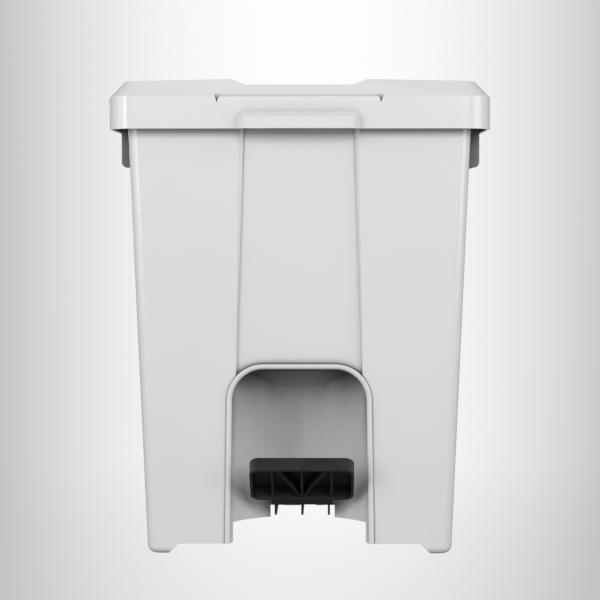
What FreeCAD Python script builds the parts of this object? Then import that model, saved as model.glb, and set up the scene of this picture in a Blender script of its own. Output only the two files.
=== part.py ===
import FreeCAD, Part
import os
import re
import Sketcher

# A pedal trash can of about 25 litres, moulded in plastic: a tapered outer body with a foot
# niche, a rear-hinged lid, a rocking pedal lever under the floor and a steel lift rod behind.
# Millimetres. +Z is up, the front faces -Y, and the origin is under the middle of the can.

doc = FreeCAD.newDocument("PedalTrashCan")
sheet = doc.addObject("Spreadsheet::Sheet", "Sizes")

sizes = {
    # overall
    "canTop": 440, "lidWidth": 350, "lidDeep": 288, "draft": 2.24,
    # lid
    "lidTall": 46, "shoulderDrop": 16.5, "lidCorner": 28, "lidWall": 2.6, "crownRise": 3,
    "grooveFloor": 49, "grooveMouth": 63, "grooveDeep": 5.5, "grooveFlare": 72.5,
    "grooveSet": 3, "creaseHalf": 2, "creaseTall": 6, "creaseDeep": 1.3,
    "tabHalf": 56, "tabTall": 17, "tabProud": 6, "tabBevel": 6, "tabRound": 6.6,
    # outer body
    "sideOverhang": 17.5, "frontOverhang": 13.6, "rimDrop": 20, "bodyCorner": 13,
    "bodyWall": 2.5, "floorTop": 66, "skirtEdge": 10, "rimProud": 3, "rimTall": 8,
    "panelHalfTop": 54.5, "panelHalfLow": 59.5, "panelDeep": 2.5,
    "footWide": 19.6, "footLong": 25, "footSlope": 10, "footSole": 4, "footRound": 7,
    "gripGap": 4.5, "gripHalf": 55, "gripTall": 43.5, "gripInLid": 10, "gripRound": 5.5,
    # foot niche
    "nicheRadius": 71, "nicheNarrows": 4, "nicheDeep": 44, "nicheTop": 173,
    "nicheHalfLow": 64.5, "nicheHalfHigh": 61.5, "nicheCorner": 29, "nicheCove": 44,
    "nicheWallEdge": 29, "slotGap": 2, "slotTop": 62,
    "lipWide": 5, "lipDeep": 7, "lipProud": 1, "lipRound": 3.2,
    # rod channel and its cover
    "channelHalf": 18, "rodFront": 13.5, "rodBehind": 7.5, "coverWall": 2.5,
    "coverLow": 16, "coverDrop": 16, "coverGap": 0.3, "bossReach": 12.5, "bossRadius": 4,
    "bossLow": 95, "bossDrop": 94, "screwRadius": 1.6, "screwHead": 3.5, "screwLong": 14,
    "screwSnug": 0.05,
    # lid hinge
    "hingeInset": 1, "lidSwing": 70, "knuckleRadius": 7, "knuckleMid": 100,
    "knuckleHalf": 8, "knuckleGap": 0.6, "earWide": 11.4,
    "hingePin": 2.5, "pinFit": 0.08, "pinHead": 4.2, "headThick": 2,
    "headFit": 0.5,
    # lift rod and crank
    "crankReach": 16, "rodRadius": 2, "rodBend": 4, "hookLong": 15, "crankIn": 4.5,
    "crankThick": 4, "crankFit": 0.9, "crankWall": 3.5, "slotEnd": 0.5, "eyeFit": 0.4,
    "guideLow": 150, "guideDrop": 59, "guideTall": 14, "guideHalf": 6, "guideWall": 5,
    "rodFit": 0.1, "clipRadius": 4.5, "clipThick": 1.2, "clipGap": 0.5,
    # pedal lever
    "pivotBack": 10, "pivotUp": 40, "hubRadius": 9, "axleRadius": 4, "axleFit": 0.1,
    "armHalf": 28.5, "armHigh": 50, "armLow": 44.5, "pedalShift": 2.5, "ribLow": 33.5,
    "ribThick": 2, "ribStep": 25, "trayRib": 27.3,
    "tongueIn": 4.5, "tongueThick": 7, "tongueHalf": 5.5, "tongueWall": 3.5,
    "tongueRound": 4, "treadGap": 16.4, "treadLong": 52, "treadDeep": 13.5,
    "treadTilt": 40, "treadProud": 23, "treadUp": 93.3, "treadWall": 2.5, "treadRound": 9,
    "braceIn": 5, "armRun": 13, "armLead": 6, "ribLead": 7, "ribRamp": 14,
    "padMargin": 7, "padFront": 1.2, "padRear": 5, "padThick": 1.6,
    "bracketGap": 1, "bracketWide": 12, "bracketDeep": 24, "bracketFlange": 14,
    "flangeThick": 5, "flangeDrop": 10, "axleClip": 7,
    # inner bucket
    "bucketGap": 1.8, "bucketDrop": 14, "bucketWall": 2, "bucketCorner": 20,
    "bucketLip": 4.5, "lipThick": 3,
    # rubber buffers
    "bufferAt": 100, "bufferHalf": 12, "bufferTall": 2.6, "bufferGap": 0.4,
}
derived = {
    "lidFront": "(lidDeep / 2)", "lidBack": "(lidDeep / 2)",
    "lidEdge": "(canTop - lidTall)", "lidShoulder": "(canTop - shoulderDrop)",
    "tabTop": "(lidEdge + tabTall)", "bodyTop": "(canTop - rimDrop)",
    "baseHalf": "(lidWidth / 2 - sideOverhang - lidEdge * tan(draft))",
    "baseDeep": "(lidFront - frontOverhang - lidEdge * tan(draft))",
    "footInner": "(baseHalf - footWide)", "footDeep": "(baseDeep - footLong)",
    "gripReach": "(lidWidth / 2 - gripGap)", "gripTop": "(lidEdge + gripInLid)",
    "gripLow": "(gripTop - gripTall)",
    "nicheTopRadius": "(nicheRadius - nicheNarrows)", "nicheBack": "(baseDeep - nicheDeep)",
    "nicheCentre": "(nicheBack + nicheRadius)",
    "hingeBack": "(lidBack - hingeInset)", "hingeUp": "(lidEdge + knuckleRadius)",
    "rodAt": "(hingeBack - crankReach)", "channelFace": "(rodAt - rodFront)",
    "coverFace": "(rodAt + rodBehind)", "coverHigh": "(lidEdge - coverDrop)",
    "bossHigh": "(lidEdge - bossDrop)", "guideHigh": "(lidEdge - guideDrop)",
    "flangeTop": "(floorTop - bodyWall - flangeDrop)",
    "treadHalf": "(nicheHalfLow - treadGap)", "treadFront": "(baseDeep + treadProud)",
    "padHalf": "(treadHalf - padMargin)", "padLong": "(treadLong - padFront - padRear)",
    "bucketTop": "(bodyTop - bucketDrop)",
    "bucketHalf": "(baseHalf - bodyWall - bucketLip - bucketGap)",
    "bucketFront": "(baseDeep - bodyWall - panelDeep - bucketLip - bucketGap)",
    "bucketRise": "((bucketTop - floorTop) * tan(draft))",
    "bucketBack": "(channelFace - bodyWall - bucketLip - bucketGap - bucketRise)",
    "bucketStep": "(nicheBack - 2 * bodyWall - 2 * bucketGap)",
    "stepLow": "(nicheTop + 2 * bodyWall + 2 * bucketGap)",
    "stepHigh": "(stepLow + baseDeep - bucketStep)",
    # how far the rod rises, its hooks' heights at rest, and half the pedal's swing
    "rodLift": "(2 * crankReach * tan(lidSwing / 2))",
    "rodLow": "(pivotUp - rodLift / 2)", "rodHigh": "(hingeUp - rodLift / 2)",
    "leverTurn": "atan(rodLift / 2 / (rodAt - pivotBack))",
}
for row, (word, value) in enumerate(sizes.items(), start=1):
    sheet.set("A%d" % row, word)
    sheet.set("B%d" % row, str(value))
    sheet.setAlias("B%d" % row, word)
doc.recompute()

words = re.compile(r"[A-Za-z]\w*")
planeAxes = {"XY_Plane": (0, 1), "XZ_Plane": (0, 2), "YZ_Plane": (1, 2)}
towards = {
    "X": FreeCAD.Rotation(FreeCAD.Vector(0, 1, 0), 90),
    "Y": FreeCAD.Rotation(FreeCAD.Vector(1, 0, 0), -90),
    "Z": FreeCAD.Rotation(),
}
big = "lidWidth"  # a length that reaches past the can from its middle


# --- helpers: every length is a formula in the sheet's words ---

def formula(text):
    """Spell out the derived words, then name each size by its cell."""
    text = str(text)
    while any(word in derived for word in words.findall(text)):
        text = words.sub(lambda m: derived.get(m[0], m[0]), text)
    return words.sub(lambda m: "Sizes." + m[0] if m[0] in sizes else m[0], text)


def bind(item, prop, text):
    item.setExpression(prop, formula(text))


def number(text):
    return float(sheet.evalExpression(formula(text)))


def outline(body, plane, start, points):
    """A closed outline of straight runs on one of the body's origin planes."""
    sketch = body.newObject("Sketcher::SketchObject", body.Name + "Outline")
    origin = next(f for f in body.Origin.OriginFeatures if f.Role == plane)
    sketch.AttachmentSupport = [(origin, "")]
    sketch.MapMode = "FlatFace"
    bind(sketch, "AttachmentOffset.Base.z", start)
    corners = [(number(u), number(v)) for u, v in points]
    count = len(corners)
    for i in range(count):
        first = FreeCAD.Vector(*corners[i], 0)
        last = FreeCAD.Vector(*corners[(i + 1) % count], 0)
        sketch.addGeometry(Part.LineSegment(first, last))
    for i in range(count):
        sketch.addConstraint(Sketcher.Constraint("Coincident", i, 2, (i + 1) % count, 1))
    for i in range(count):
        for kind, value, text in zip(("DistanceX", "DistanceY"), corners[i], points[i]):
            at = sketch.addConstraint(Sketcher.Constraint(kind, -1, 1, i, 1, value))
            bind(sketch, "Constraints[%d]" % at, text)
    return sketch


def roundEdges(body, feature, wanted, radius):
    """Round the feature's edges that the test wants."""
    doc.recompute(body.Group)
    edges = feature.Shape.Edges
    names = ["Edge%d" % (i + 1) for i, edge in enumerate(edges) if wanted(edge)]
    fillet = body.newObject("PartDesign::Fillet", body.Name + "Round")
    fillet.Base = (feature, names)
    bind(fillet, "Radius", radius)
    body.Tip = fillet
    return fillet


def prism(label, plane, points, start, end, rounds=None):
    """A straight prism: an outline on a plane, from start to end along the plane's axis.

    rounds names outline corners, by index, and the radius that each is rounded to."""
    body = doc.addObject("PartDesign::Body", label)
    backward = plane == "XZ_Plane"
    sketch = outline(body, plane, "-(%s)" % start if backward else start, points)
    pad = body.newObject("PartDesign::Pad", label + "Pad")
    pad.Profile = sketch
    pad.Reversed = backward
    bind(pad, "Length", "(%s) - (%s)" % (end, start))
    sketch.Visibility = False
    body.Tip = pad
    tip = pad
    for index, radius in (rounds or {}).items():
        u, v = (number(text) for text in points[index])
        a, b = planeAxes[plane]

        def onCorner(edge):
            return all(abs(v0.Point[a] - u) < 1e-4 and abs(v0.Point[b] - v) < 1e-4
                       for v0 in edge.Vertexes) and len(edge.Vertexes) == 2

        tip = roundEdges(body, tip, onCorner, radius)
    body.Label = label
    return body


def rectangle(left, right, low, high):
    return [(left, low), (right, low), (right, high), (left, high)]


def slab(label, x, y, z, rounds=None):
    """A box given by its spans along X, Y and Z; rounds are upright corners by index."""
    return prism(label, "XY_Plane", rectangle(*x, *y), z[0], z[1], rounds)


def flared(label, half, front, back, low, high, slope, corner, bottomRound=None):
    """A block with a rounded-corner plan that widens upwards at the slope angle."""
    body = doc.addObject("PartDesign::Body", label)
    sketch = outline(body, "XY_Plane", low,
                     rectangle("-(%s)" % half, half, "-(%s)" % front, back))
    pad = body.newObject("PartDesign::Pad", label + "Pad")
    pad.Profile = sketch
    bind(pad, "Length", "(%s) - (%s)" % (high, low))
    bind(pad, "TaperAngle", slope)
    body.Tip = pad

    def rising(edge):
        return abs(edge.Vertexes[0].Z - edge.Vertexes[-1].Z) > 1

    tip = roundEdges(body, pad, rising, corner)
    if bottomRound:
        floor = number(low)

        def atFloor(edge):
            return all(abs(v0.Z - floor) < 1e-4 for v0 in edge.Vertexes)

        roundEdges(body, tip, atFloor, bottomRound)
    body.Label = label
    return body


def place(item, at):
    for axis, text in zip("xyz", at):
        bind(item, "Placement.Base." + axis, text)


def cylinder(label, radius, long, at, axis="Z"):
    item = doc.addObject("Part::Cylinder", label)
    item.Label = label
    bind(item, "Radius", radius)
    bind(item, "Height", long)
    item.Placement = FreeCAD.Placement(FreeCAD.Vector(), towards[axis])
    place(item, at)
    return item


def joined(label, kind, pieces):
    item = doc.addObject("Part::Multi" + kind, label)
    item.Label = label
    item.Shapes = pieces
    if kind == "Fuse":
        item.Refine = True
    return item


def fuse(label, *pieces):
    return joined(label, "Fuse", list(pieces))


def common(label, *pieces):
    return joined(label, "Common", list(pieces))


def cut(label, base, *tools):
    item = doc.addObject("Part::Cut", label)
    item.Base = base
    item.Tool = tools[0] if len(tools) == 1 else fuse(label + "Tools", *tools)
    item.Label = label
    return item


def group(label, *pieces):
    """Separate solids that share one node, such as identical screws."""
    item = doc.addObject("Part::Compound", label)
    item.Label = label
    item.Links = list(pieces)
    return item


def side(way, near, far):
    """The span from near to far on the right (way 1) or on the left (way -1)."""
    return (near, far) if way > 0 else ("-(%s)" % far, "-(%s)" % near)


ways = {"left": -1, "right": 1}


# --- the outer body ---

def bodyBlock(label, grow, low, high, **rest):
    """The body's tapered outside, grown or shrunk, between two heights."""
    spread = "%s + (%s) * tan(draft) + (%s)"
    return flared(label, spread % ("baseHalf", low, grow), spread % ("baseDeep", low, grow),
                  spread % ("baseDeep", low, grow), low, high, "draft",
                  "bodyCorner + (%s)" % grow, **rest)


def scoop(label, grow, low):
    """The foot niche: an upright tapered bowl with a rounded top and a coved ceiling."""
    cone = doc.addObject("Part::Cone", label + "Bowl")
    bind(cone, "Radius1", "nicheRadius + %s" % grow)
    bind(cone, "Radius2", "nicheTopRadius + %s" % grow)
    bind(cone, "Height", "nicheTop + skirtEdge + %s" % grow)
    place(cone, ("0", "-nicheCentre", "-skirtEdge"))
    wide = "nicheHalfLow + %s" % grow
    narrow = "nicheHalfHigh + %s" % grow
    top = "nicheTop + %s" % grow
    arch = prism(label + "Arch", "XZ_Plane",
                 [("-(%s)" % wide, low), (wide, low), (narrow, top), ("-(%s)" % narrow, top)],
                 "-%s" % big, "0", {2: "nicheCorner + %s" % grow, 3: "nicheCorner + %s" % grow})
    back = "-nicheBack + %s" % grow
    cove = prism(label + "Cove", "YZ_Plane", rectangle("-%s" % big, back, low, top),
                 "-%s" % big, big, {2: "nicheCove + %s" % grow})
    return common(label, cone, arch, cove)


def frontPanel(label, grow):
    """The shallow recess down the middle of the front, as a slab along the sloping wall."""
    low = "nicheTop / 2"
    reach = "-baseDeep - (%s) * tan(draft) + panelDeep + (%s)"
    lowAt = reach % (low, grow)
    highAt = reach % ("bodyTop + 1", grow)
    wedge = prism(label + "Wedge", "YZ_Plane",
                  [("-%s" % big, low), (lowAt, low), (highAt, "bodyTop + 1"),
                   ("-%s" % big, "bodyTop + 1")], "-%s" % big, big)
    wide = "panelHalfLow + (%s)" % grow
    narrow = "panelHalfTop + (%s)" % grow
    face = prism(label + "Face", "XZ_Plane",
                 [("-(%s)" % wide, low), (wide, low), (narrow, "bodyTop + 1"),
                  ("-(%s)" % narrow, "bodyTop + 1")], "-%s" % big, "0")
    return common(label, wedge, face)


def outerBody():
    outside = bodyBlock("bodyOutside", "0", "0", "bodyTop", bottomRound="footRound")
    channelFat = slab("channelFat", ("-channelHalf - bodyWall", "channelHalf + bodyWall"),
                      ("channelFace - bodyWall", big), ("-1", "bodyTop + 2"))
    scoopFat = scoop("scoopFat", "bodyWall", "nicheWallEdge")
    panelFat = frontPanel("panelFat", "bodyWall")
    upper = cut("binSpace", bodyBlock("binBlock", "-bodyWall", "floorTop", "bodyTop + 1"),
                channelFat, scoopFat, panelFat)
    solePads = []
    for i, wayX in enumerate(ways.values()):
        for j, wayY in enumerate(ways.values()):
            solePads.append(slab("sole%d%d" % (i, j),
                                 side(wayX, "footInner - footSlope - 3", big),
                                 side(wayY, "footDeep - footSlope - 3", big),
                                 ("-1", "footSole")))
    lower = cut("baseSpace", bodyBlock("baseBlock", "-bodyWall", "-1", "floorTop - bodyWall"),
                channelFat, scoopFat, *solePads)
    arches = []
    for label, plane, reach in (("Front", "XZ_Plane", "footInner"),
                                ("Side", "YZ_Plane", "footDeep")):
        points = [("-(%s) - footSlope / skirtEdge" % reach, "-1"),
                  ("(%s) + footSlope / skirtEdge" % reach, "-1"),
                  ("(%s) - footSlope" % reach, "skirtEdge"),
                  ("-(%s) + footSlope" % reach, "skirtEdge")]
        arches.append(prism("skirtArch" + label, plane, points, "-%s" % big, big))
    niche = scoop("nicheSpace", "0", "-2")
    lipBand = cut("lipBand", bodyBlock("lipOutside", "lipProud", "-1", "nicheTop + 20"),
                  bodyBlock("lipInside", "-lipDeep", "-2", "nicheTop + 21"))
    lipArch = prism("lipArch", "XZ_Plane",
                    [("-nicheHalfLow - lipWide", "skirtEdge"),
                     ("nicheHalfLow + lipWide", "skirtEdge"),
                     ("nicheHalfHigh + lipWide", "nicheTop + lipWide"),
                     ("-nicheHalfHigh - lipWide", "nicheTop + lipWide")],
                    "-%s" % big, "0",
                    {2: "nicheCorner + lipWide", 3: "nicheCorner + lipWide"})
    lipRing = common("lipRing", lipBand, lipArch)
    shell = cut("bodyShell", outside, upper, lower, frontPanel("panelSpace", "0"), lipRing,
                *arches)
    lip = cut("nicheLip", lipRing, niche)
    doc.recompute()
    rounded = doc.addObject("Part::Fillet", "nicheLipRound")
    rounded.Base = lip
    edges = []
    for i, edge in enumerate(lip.Shape.Edges):
        inside = all(abs(v.X) < number("nicheHalfLow + 0.5") and v.Z < number("nicheTop + 0.5")
                     for v in edge.Vertexes)
        onFace = all(abs(v.Y + number("baseDeep + lipProud") + v.Z * number("tan(draft)")) < 0.01
                     for v in edge.Vertexes)
        level = edge.BoundBox.ZMax < number("skirtEdge + 1")
        if inside and onFace and not level:
            edges.append((i + 1, number("lipRound"), number("lipRound")))
    rounded.Edges = edges

    added = [shell, rounded]
    rim = cut("rimBand", bodyBlock("rimOutside", "rimProud", "bodyTop - rimTall", "bodyTop"),
              bodyBlock("rimInside", "-bodyWall / 2", "bodyTop - rimTall - 1", "bodyTop + 1"))
    added.append(rim)
    for name, way in ways.items():
        wall = "baseHalf + gripLow * tan(draft) - bodyWall / 2"
        first, last = side(way, wall, "gripReach")
        turn = 1 if way > 0 else 0
        lug = prism("gripLug" + name, "XZ_Plane", rectangle(first, last, "gripLow", "gripTop"),
                    "-gripHalf", "gripHalf", {turn: "gripRound"})
        first, last = side(way, "baseHalf", "gripReach - bodyWall")
        hollow = prism("gripHollow" + name, "XZ_Plane",
                       rectangle(first, last, "gripLow - 1", "gripTop - bodyWall"),
                       "-gripHalf + bodyWall", "gripHalf - bodyWall")
        added.append(cut("gripShell" + name, lug,
                         cut("gripRoom" + name, hollow,
                             bodyBlock("gripCore" + name, "-0.1", "gripLow - 5", "bodyTop"))))
        middle = "%d * knuckleMid" % way
        span = ("%s - knuckleHalf" % middle, "%s + knuckleHalf" % middle)
        added.append(cylinder("bodyKnuckle" + name, "knuckleRadius", "2 * knuckleHalf",
                              (span[0], "hingeBack", "hingeUp"), "X"))
        root = "baseDeep + hingeUp * tan(draft) - bodyWall / 2"
        added.append(prism("bodyArm" + name, "YZ_Plane",
                           [(root, "lidEdge"), ("hingeBack", "hingeUp - knuckleRadius"),
                            ("hingeBack", "hingeUp + knuckleRadius"),
                            (root, "hingeUp + knuckleRadius + 2")], *span))
        for level in ("bossLow", "bossHigh"):
            added.append(cylinder("coverBoss" + name + level, "bossRadius",
                                  "coverFace - channelFace + bodyWall / 2",
                                  ("%d * bossReach" % way, "channelFace - bodyWall / 2", level),
                                  "Y"))
        for turn in ways.values():
            added.append(cylinder("floorBoss%s%d" % (name, turn), "bossRadius",
                                  "floorTop - bodyWall / 2 - flangeTop",
                                  (bracketMiddle(way), bracketScrew(turn), "flangeTop")))
    solid = fuse("bodySolid", *added)
    holes = [niche]
    holes.append(slab("leverSlot", ("pedalShift - armHalf - slotGap",
                                     "pedalShift + armHalf + slotGap"),
                      ("-nicheBack - 25", "-nicheBack + 15"),
                      ("-1", "slotTop")))
    holes.append(slab("tongueSlot", ("-2", "tongueIn + tongueThick + 3"),
                      ("channelFace - 2 * bodyWall", "channelFace + 1"),
                      ("-1", "floorTop - bodyWall - 0.5")))
    behind = slab("channelSpace", ("-channelHalf", "channelHalf"), ("channelFace", big),
                  ("-1", "bodyTop + 1"))
    bosses = [item for item in added if item.Name.startswith("coverBoss")]
    holes.append(cut("channelOpen", behind, *bosses))
    for name, way in ways.items():
        holes.append(cylinder("knuckleBore" + name, "hingePin + pinFit", "2 * knuckleHalf + 2",
                              ("%d * knuckleMid - knuckleHalf - 1" % way, "hingeBack",
                               "hingeUp"), "X"))
        for level in ("bossLow", "bossHigh"):
            holes.append(cylinder("bossBore" + name + level, "screwRadius + screwSnug", "screwLong",
                                  ("%d * bossReach" % way,
                                   "coverFace - screwLong + coverWall - 0.5", level), "Y"))
        for turn in ways.values():
            at = (bracketMiddle(way), bracketScrew(turn))
            holes.append(cylinder("floorBore%s%d" % (name, turn), "screwRadius + screwSnug",
                                  "screwLong", (*at, "flangeTop - 1")))
    return cut("outer_body", solid, *holes)


# --- under the floor: axle brackets, axle and lever ---

def bracketMiddle(way):
    return "%d * (armHalf + pedalShift + bracketGap + bracketWide / 2)" % way


def bracketScrew(turn):
    return "pivotBack + %d * (bracketDeep + bracketFlange) / 2" % turn


def pivotBracket(name, way):
    middle = bracketMiddle(way)
    across = (middle + " - bracketWide / 2", middle + " + bracketWide / 2")
    block = slab("bracketBlock" + name, across,
                 ("pivotBack - bracketDeep / 2", "pivotBack + bracketDeep / 2"),
                 ("pivotUp - hubRadius", "flangeTop"))
    reach = "(bracketDeep / 2 + bracketFlange)"
    flange = slab("bracketFlange" + name, across,
                  ("pivotBack - " + reach, "pivotBack + " + reach),
                  ("flangeTop - flangeThick", "flangeTop"))
    holes = [cylinder("bracketBore" + name, "axleRadius + pinFit", "bracketWide + 2",
                      (middle + " - bracketWide / 2 - 1", "pivotBack", "pivotUp"), "X")]
    for turn in ways.values():
        holes.append(cylinder("bracketHole%s%d" % (name, turn), "screwRadius + screwSnug",
                              "flangeThick + 2",
                              (middle, bracketScrew(turn), "flangeTop - flangeThick - 1")))
    return cut("pivot_bracket_" + name, fuse("bracketBody" + name, block, flange), *holes)


def screw(label, at, axis, way=1):
    """A pan-head screw whose head rests at the given point; way -1 points it backwards."""
    x, y, z = at
    back = {"X": (1, 0, 0), "Y": (0, 1, 0), "Z": (0, 0, 1)}[axis]
    ends = []
    for long, ahead in (("screwLong", way > 0), ("headThick", way < 0)):
        ends.append([text if ahead or not step else "%s - %s" % (text, long)
                     for text, step in zip((x, y, z), back)])
    shank = cylinder(label + "Shank", "screwRadius", "screwLong", ends[0], axis)
    head = cylinder(label + "Head", "screwHead", "headThick", ends[1], axis)
    return fuse(label, shank, head)


def bracketScrews():
    screws = []
    for name, way in ways.items():
        for turn in ways.values():
            at = (bracketMiddle(way), bracketScrew(turn), "flangeTop - flangeThick")
            screws.append(screw("bracketScrew%s%d" % (name, turn), at, "Z"))
    return group("pivot_bracket_screws", *screws)


def ring(label, outer, inner, thick, at, axis="X"):
    ahead = ["%s - 1" % text if letter == axis else text for letter, text in zip("XYZ", at)]
    return cut(label, cylinder(label + "Disc", outer, thick, at, axis),
               cylinder(label + "Hole", inner, thick + " + 2", ahead, axis))


def pedalAxle():
    reach = "(armHalf + pedalShift + bracketGap + bracketWide)"
    cylinder("pedal_axle", "axleRadius", "2 * (%s + clipThick + 1.5)" % reach,
             ("-%s - clipThick - 1.5" % reach, "pivotBack", "pivotUp"), "X")
    for name, way in ways.items():
        start = reach if way > 0 else "-%s - clipThick" % reach
        ring("axle_clip_" + name, "axleClip", "axleRadius", "clipThick",
             (start, "pivotBack", "pivotUp"))


def onTread(item):
    """Carry an item drawn level at the tread's front edge to its tilted place."""
    item.Placement = FreeCAD.Placement(
        FreeCAD.Vector(), FreeCAD.Rotation(FreeCAD.Vector(1, 0, 0), -number("treadTilt")))
    place(item, ("pedalShift", "-treadFront", "treadUp"))
    return item


def treadPoint(along, under):
    """A point of the tread's side view, along its slope and under its face."""
    return ("-treadFront + (%s) * cos(treadTilt) - (%s) * sin(treadTilt)" % (along, under),
            "treadUp - (%s) * sin(treadTilt) - (%s) * cos(treadTilt)" % (along, under))


def tonguePoint(along, over):
    """A point of the rear tongue's side view, along it from the axle and over its middle."""
    return ("pivotBack + (%s) * cos(leverTurn) + (%s) * sin(leverTurn)" % (along, over),
            "pivotUp - (%s) * sin(leverTurn) + (%s) * cos(leverTurn)" % (along, over))


def pedalLever():
    tray = slab("tray", ("-treadHalf", "treadHalf"), ("0", "treadLong"), ("-treadDeep", "0"),
                {i: "treadRound" for i in range(4)})
    room = slab("trayRoom", ("-treadHalf + treadWall", "treadHalf - treadWall"),
                ("treadWall", "treadLong - treadWall"), ("-treadDeep - 1", "-treadWall"),
                {i: "treadRound - treadWall" for i in range(4)})
    pieces = [cut("trayShell", tray, room)]
    level = ("-treadDeep + 1", "-treadWall / 2")
    for k in (-1, 0, 1):
        at = "%d * trayRib" % k
        pieces.append(slab("trayRib%d" % k, (at + " - ribThick / 2", at + " + ribThick / 2"),
                           ("treadWall / 2", "treadLong - treadWall / 2"), level))
    for k in (-1, 1):
        front, rear = "%d * (trayRib - braceIn)" % k, "0"
        pieces.append(prism("trayBrace%d" % k, "XY_Plane",
                            [(front + " - ribThick / 2", "treadWall / 2"),
                             (front + " + ribThick / 2", "treadWall / 2"),
                             (rear + " + ribThick / 2", "treadLong - treadWall / 2"),
                             (rear + " - ribThick / 2", "treadLong - treadWall / 2")], *level))
    tilted = onTread(fuse("trayWhole", *pieces))
    rearLow = treadPoint("treadLong - treadWall / 2", "treadDeep")
    rearTop = treadPoint("treadLong - treadWall / 2", "treadWall / 2")
    arm = prism("arm", "YZ_Plane",
                [rearLow, rearTop, (rearTop[0] + " + armRun", "armHigh"), ("pivotBack", "armHigh"),
                 ("pivotBack", "armLow"), (rearLow[0] + " + armLead", "armLow")],
                "pedalShift - armHalf", "pedalShift + armHalf")
    whole = [tilted, arm,
             cylinder("hub", "hubRadius", "2 * armHalf",
                      ("pedalShift - armHalf", "pivotBack", "pivotUp"), "X")]
    for k in (-1, 0, 1):
        at = "pedalShift + %d * ribStep" % k
        whole.append(prism("armRib%d" % k, "YZ_Plane",
                           [(rearLow[0] + " + ribLead", "armLow + 1"),
                            (rearLow[0] + " + ribRamp", "ribLow"), ("pivotBack", "ribLow"),
                            ("pivotBack", "armLow + 1")],
                           at + " - ribThick / 2", at + " + ribThick / 2"))
    reach = "(rodAt - pivotBack)"
    end = reach + " + rodRadius + eyeFit + tongueWall"
    whole.append(prism("tongue", "YZ_Plane",
                       [tonguePoint("0", "-tongueHalf"), tonguePoint(end, "-tongueHalf"),
                        tonguePoint(end, "tongueHalf"), tonguePoint("0", "tongueHalf")],
                       "tongueIn", "tongueIn + tongueThick", {1: "tongueRound", 2: "tongueRound"}))
    near = reach + " - rodRadius - eyeFit"
    far = reach + " / cos(leverTurn) + rodRadius + eyeFit"
    eye = prism("leverEye", "YZ_Plane",
                [tonguePoint(near, "-rodRadius - eyeFit"), tonguePoint(far, "-rodRadius - eyeFit"),
                 tonguePoint(far, "rodRadius + eyeFit"), tonguePoint(near, "rodRadius + eyeFit")],
                "tongueIn - 1", "tongueIn + tongueThick + 1")
    bore = cylinder("leverBore", "axleRadius + axleFit", "2 * armHalf + 2",
                    ("pedalShift - armHalf - 1", "pivotBack", "pivotUp"), "X")
    return cut("pedal_lever", fuse("leverWhole", *whole), eye, bore)


def treadPad():
    pad = slab("padPlate", ("-padHalf", "padHalf"), ("padFront", "padFront + padLong"),
               ("0", "padThick"), {i: "treadRound / 2" for i in range(4)})
    onTread(pad).Label = "pedal_tread_pad"
    return pad


# --- behind: rod, guides and cover ---

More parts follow.
